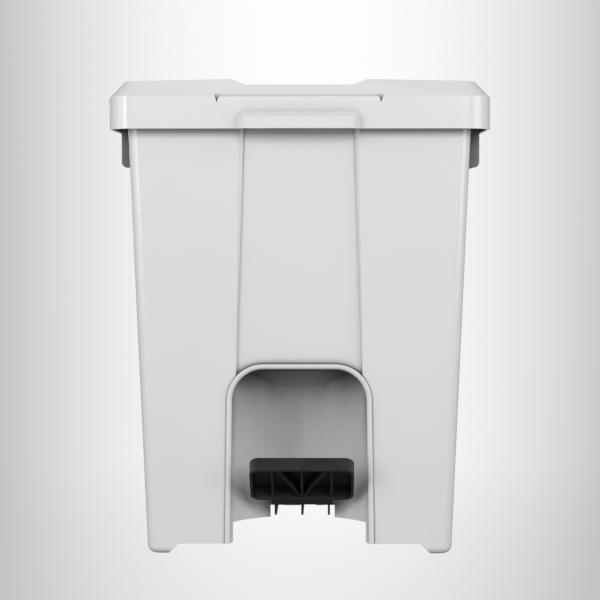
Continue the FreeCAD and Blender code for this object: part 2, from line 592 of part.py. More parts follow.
def liftRod():
    """A straight steel rod with both ends bent aside into hooks."""
    body = doc.addObject("PartDesign::Body", "lift_rod")
    names = {f.Role: f for f in body.Origin.OriginFeatures}
    path = body.newObject("Sketcher::SketchObject", "rodPath")
    path.AttachmentSupport = [(names["XZ_Plane"], "")]
    path.MapMode = "FlatFace"
    bind(path, "AttachmentOffset.Base.z", "-rodAt")
    ends = [("hookLong", "rodLow"), ("rodBend", "rodLow"), ("0", "rodLow + rodBend"),
            ("0", "rodHigh - rodBend"), ("rodBend", "rodHigh"), ("hookLong", "rodHigh")]
    at = [FreeCAD.Vector(number(u), number(v), 0) for u, v in ends]
    bend = number("rodBend")
    quarter = number("pi") / 2
    up = FreeCAD.Vector(0, 0, 1)
    lowArc = Part.ArcOfCircle(Part.Circle(FreeCAD.Vector(bend, at[2].y, 0), up, bend),
                              2 * quarter, 3 * quarter)
    highArc = Part.ArcOfCircle(Part.Circle(FreeCAD.Vector(bend, at[3].y, 0), up, bend),
                               quarter, 2 * quarter)
    for piece in (Part.LineSegment(at[0], at[1]), lowArc, Part.LineSegment(at[2], at[3]),
                  highArc, Part.LineSegment(at[4], at[5])):
        path.addGeometry(piece)
    for first, second in (((0, 2), (1, 2)), ((1, 1), (2, 1)), ((2, 2), (3, 2)), ((3, 1), (4, 1))):
        path.addConstraint(Sketcher.Constraint("Coincident", *first, *second))
    fixed = [(0, 1, 0), (0, 2, 1), (2, 1, 2), (2, 2, 3), (4, 1, 4), (4, 2, 5)]
    for piece, end, index in fixed:
        for kind, value, text in zip(("DistanceX", "DistanceY"), at[index], ends[index]):
            made = path.addConstraint(Sketcher.Constraint(kind, -1, 1, piece, end, value))
            bind(path, "Constraints[%d]" % made, text)
    for arc in (1, 3):
        made = path.addConstraint(Sketcher.Constraint("DistanceX", -1, 1, arc, 3, bend))
        bind(path, "Constraints[%d]" % made, "rodBend")
    section = body.newObject("Sketcher::SketchObject", "rodSection")
    section.AttachmentSupport = [(names["YZ_Plane"], "")]
    section.MapMode = "FlatFace"
    bind(section, "AttachmentOffset.Base.z", "hookLong")
    centre = FreeCAD.Vector(number("rodAt"), number("rodLow"), 0)
    section.addGeometry(Part.Circle(centre, up, number("rodRadius")))
    for kind, value, text in (("DistanceX", centre.x, "rodAt"), ("DistanceY", centre.y, "rodLow")):
        made = section.addConstraint(Sketcher.Constraint(kind, -1, 1, 0, 3, value))
        bind(section, "Constraints[%d]" % made, text)
    made = section.addConstraint(Sketcher.Constraint("Radius", 0, number("rodRadius")))
    bind(section, "Constraints[%d]" % made, "rodRadius")
    pipe = body.newObject("PartDesign::AdditivePipe", "rodPipe")
    pipe.Profile = section
    pipe.Spine = path
    body.Tip = pipe
    body.Label = "lift_rod"
    ring("rod_clip_lower", "clipRadius", "rodRadius", "clipThick",
         ("tongueIn + tongueThick + clipGap", "rodAt", "rodLow"))
    ring("rod_clip_upper", "clipRadius", "rodRadius", "clipThick",
         ("crankIn + crankThick + clipGap", "rodAt", "rodHigh"))


def rodGuide(name, level):
    block = slab("guideBlock" + name, ("-guideHalf", "guideHalf"),
                 ("channelFace", "rodAt + guideWall"), (level, level + " + guideTall"))
    bore = cylinder("guideBore" + name, "rodRadius + rodFit", "guideTall + 2",
                    ("0", "rodAt", level + " - 1"))
    return cut("rod_guide_" + name, block, bore)


def rodCover():
    outside = slab("coverBlock", ("-channelHalf - coverWall", "channelHalf + coverWall"),
                   ("channelFace", "coverFace + coverWall"), ("coverLow", "coverHigh"),
                   {2: "coverWall", 3: "coverWall"})
    inside = slab("coverRoom", ("-channelHalf", "channelHalf"), ("channelFace - 1", "coverFace"),
                  ("coverLow - 1", "coverHigh - coverWall"))
    holes = [bodyBlock("coverSeat", "coverGap", "0", "bodyTop"), inside,
             cylinder("coverRodWay", "rodRadius + crankFit", "coverWall + 2",
                      ("0", "rodAt", "coverHigh - coverWall - 1"), "Z")]
    screws = []
    for name, way in ways.items():
        for level in ("bossLow", "bossHigh"):
            x = "%d * bossReach" % way
            holes.append(cylinder("coverHole" + name + level, "screwRadius + screwSnug",
                                  "coverWall + 2", (x, "coverFace - 1", level), "Y"))
            screws.append(screw("coverScrew" + name + level,
                                (x, "coverFace + coverWall", level), "Y", -1))
    group("rod_cover_screws", *screws)
    return cut("rear_rod_cover", outside, *holes)


# --- the lid ---

pinReach = "(knuckleHalf + knuckleGap + earWide)"  # half the length that a hinge pin joins


def lidShape(label, inset, low):
    """The lid's outside, or its inside when inset: skirt, shoulders, crown and groove."""
    half, rear = "lidWidth / 2 - (%s)" % inset, "lidBack - (%s)" % inset
    front = "lidFront - (%s)" % inset
    block = slab(label + "Block", ("-(%s)" % half, half), ("-(%s)" % front, rear),
                 (low, "canTop - (%s)" % inset), {i: "lidCorner - (%s)" % inset for i in range(4)})
    doc.recompute()
    top, square = number("canTop - (%s)" % inset), block.Tip
    names = ["Edge%d" % (i + 1) for i, edge in enumerate(square.Shape.Edges)
             if all(abs(v.Z - top) < 1e-4 for v in edge.Vertexes)]
    shoulder = block.newObject("PartDesign::Chamfer", label + "Shoulder")
    shoulder.Base = (square, names)
    bind(shoulder, "Size", "canTop - lidShoulder - (2 - sqrt(2)) * (%s)" % inset)
    block.Tip = shoulder
    crown = "((lidWidth / 2) ^ 2 / 2 / crownRise)"
    bowed = cylinder(label + "Crown", "%s - (%s)" % (crown, inset), "2 * " + big,
                     ("0", "-" + big, "canTop - " + crown), "Y")
    return cut(label, common(label + "Bowed", block, bowed), groove(label + "Groove", inset))


def groove(label, grow):
    """The shallow front-to-back groove, which flares as it runs down the front shoulder."""
    body = doc.addObject("PartDesign::Body", label)
    floor = "canTop - grooveDeep - (%s)" % grow
    ledge = "lidShoulder - (%s)" % grow
    lead = "-lidFront + grooveSet + (sqrt(2) - 1) * (%s)" % grow
    steep = "(canTop - grooveDeep - lidShoulder)"
    spread = "(grooveMouth - grooveFloor) * (1 + 5 / grooveDeep)"
    wide = ("grooveFlare + (%s)" % grow, "grooveFlare + (%s) + %s" % (grow, spread), ledge)
    slim = ("grooveFloor + (%s)" % grow, "grooveFloor + (%s) + %s" % (grow, spread), floor)
    stations = [("-" + big, wide), (lead, wide), (lead + " + " + steep, slim), (big, slim)]
    sketches = []
    for at, (low, high, level) in stations:
        points = [("-(%s)" % low, level), (low, level), (high, "canTop + 5"),
                  ("-(%s)" % high, "canTop + 5")]
        sketches.append(outline(body, "XZ_Plane", "-(%s)" % at, points))
    loft = body.newObject("PartDesign::AdditiveLoft", label + "Loft")
    loft.Profile = sketches[0]
    loft.Sections = sketches[1:]
    loft.Ruled = True
    body.Tip = loft
    return body


def handleTab():
    """The bevelled finger tab on the lid's front edge."""
    tab = prism("handleTab", "XZ_Plane", rectangle("-tabHalf", "tabHalf", "lidEdge", "tabTop"),
                "-lidFront - tabProud", "-lidFront + lidWall / 2", {2: "tabRound", 3: "tabRound"})
    doc.recompute()
    face, edge, square = number("-lidFront - tabProud"), number("lidEdge"), tab.Tip
    names = ["Edge%d" % (i + 1) for i, item in enumerate(square.Shape.Edges)
             if all(abs(v.Y - face) < 1e-4 for v in item.Vertexes)
             and any(abs(v.Z - edge) > 1e-4 for v in item.Vertexes)]
    bevel = tab.newObject("PartDesign::Chamfer", "tabBevelled")
    bevel.Base = (square, names)
    bind(bevel, "Size", "tabBevel")
    tab.Tip = bevel
    return tab


def crankPoint(along, over):
    """A point of the crank's side view, along its slot from the hinge and over its middle."""
    turn = "(lidSwing / 2)"
    return ("hingeBack - (%s) * cos%s - (%s) * sin%s" % (along, turn, over, turn),
            "hingeUp - (%s) * sin%s + (%s) * cos%s" % (along, turn, over, turn))


def crankPlate():
    reach = "crankReach / cos(lidSwing / 2) + slotEnd + rodRadius + crankWall"
    half = "rodRadius + crankFit + crankWall"
    under = "canTop - grooveDeep - lidWall / 2"
    upper = crankPoint(reach, half)
    return prism("crank", "YZ_Plane",
                 [upper, (upper[0], under),
                  ("lidBack + lidShoulder - (%s) - lidWall" % under, under),
                  ("hingeBack - knuckleRadius / 2", "lidShoulder"),
                  crankPoint("crankReach / 2", "-(%s)" % half), crankPoint(reach, "-(%s)" % half)],
                 "crankIn", "crankIn + crankThick")


def lid():
    pieces = [cut("lidShell", lidShape("lidOutside", "0", "lidEdge"),
                  lidShape("lidInside", "lidWall", "lidEdge - 1")), handleTab(), crankPlate()]
    near = "crankReach - slotEnd - rodRadius"
    far = "crankReach / cos(lidSwing / 2) + slotEnd + rodRadius"
    half = "rodRadius + crankFit"
    holes = [prism("crankSlot", "YZ_Plane",
                   [crankPoint(near, "-(%s)" % half), crankPoint(far, "-(%s)" % half),
                    crankPoint(far, half), crankPoint(near, half)],
                   "crankIn - 1", "crankIn + crankThick + 1")]
    for name, way in ways.items():
        crease = "%d * (grooveFlare + creaseHalf)" % way
        holes.append(prism("mouthCrease" + name, "XZ_Plane",
                           [(crease + " - creaseHalf", "lidShoulder + 1"),
                            (crease, "lidShoulder - creaseTall"),
                            (crease + " + creaseHalf", "lidShoulder + 1")],
                           "-lidFront - 1", "-lidFront + creaseDeep"))
        middle = "%d * knuckleMid" % way
        holes.append(slab("hingeNotch" + name,
                          (middle + " - knuckleHalf - knuckleGap",
                           middle + " + knuckleHalf + knuckleGap"),
                          ("lidBack - 2 * lidWall", big),
                          ("lidEdge - 1", "hingeUp + knuckleRadius + 2.5")))
        for turn in ways.values():
            inner = "%s + %d * (knuckleHalf + knuckleGap + earWide / 2)" % (middle, turn)
            span = (inner + " - earWide / 2", inner + " + earWide / 2")
            stem = "%s%d" % (name, turn)
            pieces.append(cylinder("lidEar" + stem, "knuckleRadius", "earWide",
                                   (span[0], "hingeBack", "hingeUp"), "X"))
            pieces.append(slab("earWeb" + stem, span,
                               ("hingeBack - knuckleRadius", "lidBack - lidWall / 2"),
                               ("hingeUp", "lidShoulder - 1")))
        reach = "(%s + 2)" % pinReach
        holes.append(cylinder("earBore" + name, "hingePin + pinFit", "2 * " + reach,
                              (middle + " - " + reach, "hingeBack", "hingeUp"), "X"))
        headAt = side(way, "knuckleMid + " + pinReach, "knuckleMid + %s + 1.5 * headThick" % pinReach)
        holes.append(cylinder("headRoom" + name, "pinHead + headFit", "1.5 * headThick",
                              (headAt[0], "hingeBack", "hingeUp"), "X"))
        pieces.append(slab("stopRib" + name, bufferSpan(way, "bufferHalf / 2"), rimSpan(),
                           ("bodyTop + bufferTall + bufferGap", "lidShoulder + 7")))
    return cut("lid", fuse("lidWhole", *pieces), *holes)


def bufferSpan(way, half):
    return ("%d * bufferAt - %s" % (way, half), "%d * bufferAt + %s" % (way, half))


def rimSpan():
    face = "-baseDeep - bodyTop * tan(draft)"
    return (face + " - rimProud + 0.5", face + " + bodyWall - 0.5")


def hingePinOf(name, way):
    start = "%d * knuckleMid - %s" % (way, pinReach)
    headAt = start + " - headThick" if way < 0 else "knuckleMid + " + pinReach
    pin = cylinder("pinShank" + name, "hingePin", "2 * " + pinReach,
                   (start, "hingeBack", "hingeUp"), "X")
    head = cylinder("pinHead" + name, "pinHead", "headThick",
                    (headAt, "hingeBack", "hingeUp"), "X")
    return fuse("hinge_pin_" + name, pin, head)


# --- inside: the lift-out bucket ---

def bucketBlock(label, grow, low, high):
    """The bucket's tapered outside with its front stepped back over the foot niche."""
    rise = "(%s - floorTop) * tan(draft) + (%s)" % (low, grow)
    block = flared(label + "Block", "bucketHalf + " + rise, "bucketFront + " + rise,
                   "bucketBack + " + rise, low, high, "draft", "bucketCorner + (%s)" % grow)
    step = "-bucketStep - (%s)" % grow
    notch = prism(label + "Notch", "YZ_Plane",
                  [("-" + big, "floorTop - 5"), (step, "floorTop - 5"),
                   (step, "stepLow - (%s)" % grow),
                   (step + " - stepHigh + stepLow", "stepHigh - (%s)" % grow),
                   ("-" + big, "stepHigh - (%s)" % grow)], "-" + big, big)
    return cut(label, block, notch)


def innerBucket():
    outside = bucketBlock("bucketOutside", "0", "floorTop", "bucketTop")
    inside = bucketBlock("bucketInside", "-bucketWall", "floorTop + bucketWall",
                         "bucketTop + 1")
    lip = cut("bucketLipRing", bucketBlock("lipOuter", "bucketLip", "bucketTop - lipThick",
                                           "bucketTop"),
              bucketBlock("lipInner", "-bucketWall", "bucketTop - lipThick - 1", "bucketTop + 1"))
    return fuse("inner_bucket", cut("bucketShell", outside, inside), lip)


# --- all the pieces, then the files ---

outerBody()
innerBucket()
lid()
for name, way in ways.items():
    pivotBracket(name, way)
    hingePinOf(name, way)
    buffer = slab("lid_buffer_" + name, bufferSpan(way, "bufferHalf"), rimSpan(),
                  ("bodyTop", "bodyTop + bufferTall"))
bracketScrews()
pedalAxle()
pedalLever()
treadPad()
liftRod()
rodGuide("lower", "guideLow")
rodGuide("upper", "guideHigh")
rodCover()
doc.recompute()

nodes = ["outer_body", "inner_bucket", "lid", "pivot_bracket_left", "pivot_bracket_right",
         "pivot_bracket_screws", "hinge_pin_left", "hinge_pin_right", "lid_buffer_left",
         "lid_buffer_right", "pedal_axle", "axle_clip_left", "axle_clip_right", "pedal_lever",
         "pedal_tread_pad", "lift_rod", "rod_clip_lower", "rod_clip_upper", "rod_guide_lower",
         "rod_guide_upper", "rear_rod_cover", "rod_cover_screws"]

for item in doc.Objects:
    if "Invalid" in item.State or "Error" in item.State:
        raise SystemExit("failed: %s %s" % (item.Label, item.State))
os.makedirs("parts", exist_ok=True)
for node in nodes:
    piece = doc.getObjectsByLabel(node)[0]
    shape = piece.Shape
    if shape.isNull() or not shape.isValid() or not shape.Solids:
        raise SystemExit("bad shape: " + node)
    print("%-22s solids %d volume %.0f" % (node, len(shape.Solids), shape.Volume))
    shape.exportStep(os.path.join("parts", node + ".step"))
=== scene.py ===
import math

import bmesh
import bpy
from mathutils import Matrix, Vector


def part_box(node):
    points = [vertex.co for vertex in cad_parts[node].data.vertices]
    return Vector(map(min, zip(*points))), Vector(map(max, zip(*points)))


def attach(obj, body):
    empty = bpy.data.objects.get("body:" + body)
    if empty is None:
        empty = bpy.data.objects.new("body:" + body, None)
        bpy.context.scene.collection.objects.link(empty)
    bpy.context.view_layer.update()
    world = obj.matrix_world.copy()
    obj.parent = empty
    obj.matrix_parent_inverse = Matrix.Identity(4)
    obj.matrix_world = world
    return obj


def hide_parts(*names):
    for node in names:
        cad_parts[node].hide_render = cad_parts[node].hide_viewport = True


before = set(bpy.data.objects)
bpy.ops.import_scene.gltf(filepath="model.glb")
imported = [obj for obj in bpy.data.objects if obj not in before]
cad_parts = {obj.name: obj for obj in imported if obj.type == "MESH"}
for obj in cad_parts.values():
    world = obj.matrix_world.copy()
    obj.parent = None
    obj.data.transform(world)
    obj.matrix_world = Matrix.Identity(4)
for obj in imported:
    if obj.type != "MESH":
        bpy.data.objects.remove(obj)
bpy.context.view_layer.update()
scene = bpy.context.scene
scene.view_settings.view_transform = "Standard"
print("can loaded:", len(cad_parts), "nodes")


def toLinear(hexColour):
    parts = [int(hexColour[i:i + 2], 16) / 255 for i in (1, 3, 5)]
    return [c / 12.92 if c <= 0.04045 else ((c + 0.055) / 1.055) ** 2.4 for c in parts] + [1.0]


def addNode(tree, kind, settings=None, **links):
    # settings are the node's own properties or socket values; a link goes into an input by its name,
    # or by its number, as in i0
    node = tree.nodes.new(kind)
    for name, value in (settings or {}).items():
        if name in node.inputs:
            node.inputs[name].default_value = value
        else:
            setattr(node, name, value)
    for name, source in links.items():
        byNumber = name[0] == "i" and name[1:].isdigit()
        socket = int(name[1:]) if byNumber else name.replace("_", " ")
        tree.links.new(source, node.inputs[socket])
    return node


def newMaterial(name):
    material = bpy.data.materials.new(name)
    material.use_nodes = True
    tree = material.node_tree
    tree.nodes.clear()
    return material, tree


# camera
cameraSetup = {"position": (0.0256, -1.8412, 0.3212), "lens": 112.1, "sensor": 36.0,
               "pitch": 2.79, "turn": 0.83}
cameraData = bpy.data.cameras.new("productCamera")
cameraData.lens = cameraSetup["lens"]
cameraData.sensor_width = cameraSetup["sensor"]
camera = bpy.data.objects.new("productCamera", cameraData)
scene.collection.objects.link(camera)
camera.location = cameraSetup["position"]
camera.rotation_euler = (math.radians(90 - cameraSetup["pitch"]), 0, math.radians(cameraSetup["turn"]))
scene.camera = camera
print("camera placed")


# white glossy polypropylene
# injection moulded in a polished tool: a clean light skin with faint waves and duller handled patches
# the dark grey and its reach in mm are painted shade for hollows
shellFinish = {"colour": "#dadada", "shade": "#d6d6d7", "hollow": "#5a5a5b", "hollowMm": 110,
               "openFrom": 0.56, "openTo": 0.95, "cloudMm": 111.1, "markMm": 26.3,
               "roughness": (0.2, 0.26), "flowWidthMm": 46, "flowDepth": 0.12, "flowRiseMm": 4.0,
               "peelMm": 2.6, "peelDepth": 0.05, "peelRiseMm": 0.3, "edgeMm": 0.5}


def glossyPolypropylene(name, finish):
    material, tree = newMaterial(name)
    place = addNode(tree, "ShaderNodeTexCoord").outputs["Object"]
    # cloudy change of tone, about a hand wide
    cloud = addNode(tree, "ShaderNodeTexNoise",
                    {"Scale": 1000.0 / finish["cloudMm"], "Detail": 3.0, "Roughness": 0.55}, Vector=place)
    tone = addNode(tree, "ShaderNodeMix", {"data_type": "RGBA"}, i0=cloud.outputs["Fac"])
    tone.inputs[6].default_value = toLinear(finish["colour"])
    tone.inputs[7].default_value = toLinear(finish["shade"])
    # painted shade: the colour is pulled toward a dark grey wherever ambient occlusion finds a deep
    # hollow, such as the niche and the strip under the lid, standing in for the shade that falls there
    occlusion = addNode(tree, "ShaderNodeAmbientOcclusion",
                    {"samples": 12, "only_local": True, "Distance": finish["hollowMm"] / 1000})
    unshadedShare = addNode(tree, "ShaderNodeMapRange",
                       {"From Min": finish["openFrom"], "From Max": finish["openTo"]},
                       Value=occlusion.outputs["AO"])
    shaded = addNode(tree, "ShaderNodeMix", {"data_type": "RGBA"}, i0=unshadedShare.outputs["Result"],
                     i7=tone.outputs[2])
    shaded.inputs[6].default_value = toLinear(finish["hollow"])
    # handling marks: patches a little duller than the rest
    marks = addNode(tree, "ShaderNodeTexNoise",
                    {"Scale": 1000.0 / finish["markMm"], "Detail": 5.0, "Roughness": 0.65}, Vector=place)
    gloss = addNode(tree, "ShaderNodeMapRange",
                    {"From Min": 0.3, "From Max": 0.8, "To Min": finish["roughness"][0],
                     "To Max": finish["roughness"][1]}, Value=marks.outputs["Fac"])
    # long upright waves left by the melt as it filled the wall
    upright = addNode(tree, "ShaderNodeMapping", {"Scale": (1.0, 1.0, 0.08)}, Vector=place)
    flow = addNode(tree, "ShaderNodeTexNoise",
                   {"Scale": 1000.0 / finish["flowWidthMm"], "Detail": 1.0, "Roughness": 0.4},
                   Vector=upright.outputs["Vector"])
    peel = addNode(tree, "ShaderNodeTexNoise",
                   {"Scale": 1000.0 / finish["peelMm"], "Detail": 2.0, "Roughness": 0.5}, Vector=place)
    edge = addNode(tree, "ShaderNodeBevel", {"samples": 4, "Radius": finish["edgeMm"] / 1000})
    waves = addNode(tree, "ShaderNodeBump",
                    {"Strength": finish["flowDepth"], "Distance": finish["flowRiseMm"] / 1000},
                    Height=flow.outputs["Fac"], Normal=edge.outputs["Normal"])
    skin = addNode(tree, "ShaderNodeBump",
                   {"Strength": finish["peelDepth"], "Distance": finish["peelRiseMm"] / 1000},
                   Height=peel.outputs["Fac"], Normal=waves.outputs["Normal"])
    plastic = addNode(tree, "ShaderNodeBsdfPrincipled",
                      {"IOR": 1.49, "Subsurface Weight": 0.06, "Subsurface Scale": 0.004,
                       "Subsurface Radius": (1.0, 0.9, 0.8)},
                      Base_Color=shaded.outputs[2], Roughness=gloss.outputs["Result"],
                      Normal=skin.outputs["Normal"])
    addNode(tree, "ShaderNodeOutputMaterial", Surface=plastic.outputs["BSDF"])
    return material


whitePlastic = glossyPolypropylene("glossyWhitePolypropylene", shellFinish)

# grey polypropylene of the liner
# recycled grade in a plainer tool: duller, with scuffs running up the wall where bags rub
linerFinish = {"colour": "#8b8e91", "scuff": "#a3a5a7", "roughness": (0.36, 0.52), "scuffMm": 1.4,
               "patchMm": 71.43, "grainMm": 0.9, "grainRiseMm": 0.3}


def scuffedPolypropylene(name, finish):
    material, tree = newMaterial(name)
    place = addNode(tree, "ShaderNodeTexCoord").outputs["Object"]
    upright = addNode(tree, "ShaderNodeMapping", {"Scale": (1.0, 1.0, 0.03)}, Vector=place)
    scuffs = addNode(tree, "ShaderNodeTexNoise",
                     {"Scale": 1000.0 / finish["scuffMm"], "Detail": 3.0, "Roughness": 0.6},
                     Vector=upright.outputs["Vector"])
    patches = addNode(tree, "ShaderNodeTexNoise",
                      {"Scale": 1000.0 / finish["patchMm"], "Detail": 4.0, "Roughness": 0.6}, Vector=place)
    worn = addNode(tree, "ShaderNodeMath", {"operation": "MULTIPLY", "use_clamp": True},
                   i0=scuffs.outputs["Fac"], i1=patches.outputs["Fac"])
    amount = addNode(tree, "ShaderNodeMapRange", {"From Min": 0.24, "From Max": 0.42, "To Max": 0.6},
                     Value=worn.outputs["Value"])
    tone = addNode(tree, "ShaderNodeMix", {"data_type": "RGBA"}, i0=amount.outputs["Result"])
    tone.inputs[6].default_value = toLinear(finish["colour"])
    tone.inputs[7].default_value = toLinear(finish["scuff"])
    gloss = addNode(tree, "ShaderNodeMapRange",
                    {"To Min": finish["roughness"][0], "To Max": finish["roughness"][1]},
                    Value=patches.outputs["Fac"])
    grain = addNode(tree, "ShaderNodeTexNoise",
                    {"Scale": 1000.0 / finish["grainMm"], "Detail": 2.0}, Vector=place)
    skin = addNode(tree, "ShaderNodeBump", {"Strength": 0.12, "Distance": finish["grainRiseMm"] / 1000},
                   Height=grain.outputs["Fac"])
    plastic = addNode(tree, "ShaderNodeBsdfPrincipled", {"IOR": 1.49},
                      Base_Color=tone.outputs[2], Roughness=gloss.outputs["Result"],
                      Normal=skin.outputs["Normal"])
    addNode(tree, "ShaderNodeOutputMaterial", Surface=plastic.outputs["BSDF"])
    return material


greyPlastic = scuffedPolypropylene("scuffedGreyPolypropylene", linerFinish)

# black polypropylene of the lever
# spark-eroded tool: an even matt grain that breaks up the light, with paler rubbed patches
leverFinish = {"colour": "#131314", "rubbed": "#1f1f20", "roughness": (0.42, 0.6), "rubMm": 22.22,
               "grainMm": 0.8, "grainDepth": 0.35, "grainRiseMm": 0.2, "edgeMm": 0.6}


def sparkErodedPolypropylene(name, finish):
    material, tree = newMaterial(name)
    place = addNode(tree, "ShaderNodeTexCoord").outputs["Object"]
    rub = addNode(tree, "ShaderNodeTexNoise",
                  {"Scale": 1000.0 / finish["rubMm"], "Detail": 5.0, "Roughness": 0.65}, Vector=place)
    amount = addNode(tree, "ShaderNodeMapRange", {"From Min": 0.45, "From Max": 0.75},
                     Value=rub.outputs["Fac"])
    tone = addNode(tree, "ShaderNodeMix", {"data_type": "RGBA"}, i0=amount.outputs["Result"])
    tone.inputs[6].default_value = toLinear(finish["colour"])
    tone.inputs[7].default_value = toLinear(finish["rubbed"])
    gloss = addNode(tree, "ShaderNodeMapRange",
                    {"From Min": 0.3, "From Max": 0.7, "To Min": finish["roughness"][0],
                     "To Max": finish["roughness"][1]}, Value=rub.outputs["Fac"])
    # real grain is about 0.1 mm; drawn eight times coarser so that it shows
    grain = addNode(tree, "ShaderNodeTexVoronoi", {"Scale": 1000.0 / finish["grainMm"]}, Vector=place)
    edge = addNode(tree, "ShaderNodeBevel", {"samples": 4, "Radius": finish["edgeMm"] / 1000})
    skin = addNode(tree, "ShaderNodeBump",
                   {"Strength": finish["grainDepth"], "Distance": finish["grainRiseMm"] / 1000},
                   Height=grain.outputs["Distance"], Normal=edge.outputs["Normal"])
    plastic = addNode(tree, "ShaderNodeBsdfPrincipled", {"IOR": 1.49},
                      Base_Color=tone.outputs[2], Roughness=gloss.outputs["Result"],
                      Normal=skin.outputs["Normal"])
    addNode(tree, "ShaderNodeOutputMaterial", Surface=plastic.outputs["BSDF"])
    return material


blackPlastic = sparkErodedPolypropylene("sparkErodedBlackPolypropylene", leverFinish)

# moulded rubber of the tread pad and buffers
# carbon-filled rubber: dull, with a bloom of pale dust in its pores
rubberFinish = {"colour": "#1b1b1c", "bloom": "#333334", "dustMm": 16.67, "roughness": (0.62, 0.8),
                "poreMm": 1.1, "poreRiseMm": 0.2}


def bloomedRubber(name, finish):
    material, tree = newMaterial(name)
    place = addNode(tree, "ShaderNodeTexCoord").outputs["Object"]
    dust = addNode(tree, "ShaderNodeTexNoise",
                   {"Scale": 1000.0 / finish["dustMm"], "Detail": 6.0, "Roughness": 0.7}, Vector=place)
    amount = addNode(tree, "ShaderNodeMapRange", {"From Min": 0.48, "From Max": 0.8, "To Max": 0.8},
                     Value=dust.outputs["Fac"])
    tone = addNode(tree, "ShaderNodeMix", {"data_type": "RGBA"}, i0=amount.outputs["Result"])
    tone.inputs[6].default_value = toLinear(finish["colour"])
    tone.inputs[7].default_value = toLinear(finish["bloom"])
    gloss = addNode(tree, "ShaderNodeMapRange",
                    {"To Min": finish["roughness"][0], "To Max": finish["roughness"][1]},
                    Value=dust.outputs["Fac"])
    pores = addNode(tree, "ShaderNodeTexNoise", {"Scale": 1000.0 / finish["poreMm"], "Detail": 2.0},
                    Vector=place)
    skin = addNode(tree, "ShaderNodeBump", {"Strength": 0.3, "Distance": finish["poreRiseMm"] / 1000},
                   Height=pores.outputs["Fac"])
    surface = addNode(tree, "ShaderNodeBsdfPrincipled", {"IOR": 1.52, "Sheen Weight": 0.1},
                      Base_Color=tone.outputs[2], Roughness=gloss.outputs["Result"],
                      Normal=skin.outputs["Normal"])
    addNode(tree, "ShaderNodeOutputMaterial", Surface=surface.outputs["BSDF"])
    return material


rubber = bloomedRubber("bloomedMouldedRubber", rubberFinish)

# zinc plated steel
# bright drawn wire and pressed parts with a thin zinc coat: silvery, patchy, slightly bluish
zincFinish = {"colour": "#c3c6c9", "dull": "#9a9da1", "roughness": (0.24, 0.46), "spangleMm": 3.0,
              "spangleShare": 0.35, "stainMm": 8.33, "stainRiseMm": 0.2}


def zincPlatedSteel(name, finish):
    material, tree = newMaterial(name)
    place = addNode(tree, "ShaderNodeTexCoord").outputs["Object"]
    spangle = addNode(tree, "ShaderNodeTexVoronoi", {"Scale": 1000.0 / finish["spangleMm"]},
                      Vector=place)
    stain = addNode(tree, "ShaderNodeTexNoise",
                    {"Scale": 1000.0 / finish["stainMm"], "Detail": 5.0, "Roughness": 0.65}, Vector=place)
    mixed = addNode(tree, "ShaderNodeMath", {"operation": "MULTIPLY_ADD"},
                    i0=spangle.outputs["Distance"], i2=stain.outputs["Fac"])
    mixed.inputs[1].default_value = finish["spangleShare"]
    amount = addNode(tree, "ShaderNodeMapRange", {"From Min": 0.4, "From Max": 0.85},
                     Value=mixed.outputs["Value"])
    tone = addNode(tree, "ShaderNodeMix", {"data_type": "RGBA"}, i0=amount.outputs["Result"])
    tone.inputs[6].default_value = toLinear(finish["colour"])
    tone.inputs[7].default_value = toLinear(finish["dull"])
    gloss = addNode(tree, "ShaderNodeMapRange",
                    {"To Min": finish["roughness"][0], "To Max": finish["roughness"][1]},
                    Value=amount.outputs["Result"])
    skin = addNode(tree, "ShaderNodeBump", {"Strength": 0.08, "Distance": finish["stainRiseMm"] / 1000},
                   Height=stain.outputs["Fac"])
    metal = addNode(tree, "ShaderNodeBsdfPrincipled", {"Metallic": 1.0},
                    Base_Color=tone.outputs[2], Roughness=gloss.outputs["Result"],
                    Normal=skin.outputs["Normal"])
    addNode(tree, "ShaderNodeOutputMaterial", Surface=metal.outputs["BSDF"])
    return material


zincSteel = zincPlatedSteel("zincPlatedSteel", zincFinish)
slotMaterials = {"white_plastic": whitePlastic, "grey_plastic": greyPlastic,
                 "black_plastic": blackPlastic, "rubber": rubber, "zinc_steel": zincSteel}
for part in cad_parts.values():
    for i, old in enumerate(part.data.materials):
        part.data.materials[i] = slotMaterials[old.name.split(".")[0]]
print("materials ready")

# pieces with softened edges
# each one: the body it moves with, its material slot, the round on its edges in mm
pieces = {
    "outer_body": ("root", "white_plastic", 0.0),
    "lid": ("lid", "white_plastic", 0.45),
    "inner_bucket": ("root", "grey_plastic", 0.0),
    "pedal_lever": ("pedal", "black_plastic", 0.5),
    "rear_rod_cover": ("root", "white_plastic", 0.4),
    "pivot_bracket_left": ("root", "white_plastic", 0.35),
    "pivot_bracket_right": ("root", "white_plastic", 0.35),
    "rod_guide_lower": ("root", "white_plastic", 0.3),
    "rod_guide_upper": ("root", "white_plastic", 0.3),
    "lid_buffer_left": ("root", "rubber", 0.6),
    "lid_buffer_right": ("root", "rubber", 0.6),
    "hinge_pin_left": ("root", "zinc_steel", 0.2),
    "hinge_pin_right": ("root", "zinc_steel", 0.2),
    "pedal_axle": ("root", "zinc_steel", 0.3),
    "axle_clip_left": ("root", "zinc_steel", 0.15),
    "axle_clip_right": ("root", "zinc_steel", 0.15),
    "lift_rod": ("rod", "zinc_steel", 0.25),
    "rod_clip_lower": ("rod", "zinc_steel", 0.15),
    "rod_clip_upper": ("rod", "zinc_steel", 0.15),
    "pivot_bracket_screws": ("root", "zinc_steel", 0.15),
    "rod_cover_screws": ("root", "zinc_steel", 0.15),
}
# edges that turn by more than the crease stay sharp and take the round; points closer than the merge
# distance become one, and faces that turn by less than the flat angle become one
softening = {"crease": 32.0, "mergeMm": 0.01, "flat": 0.6, "steps": 2}

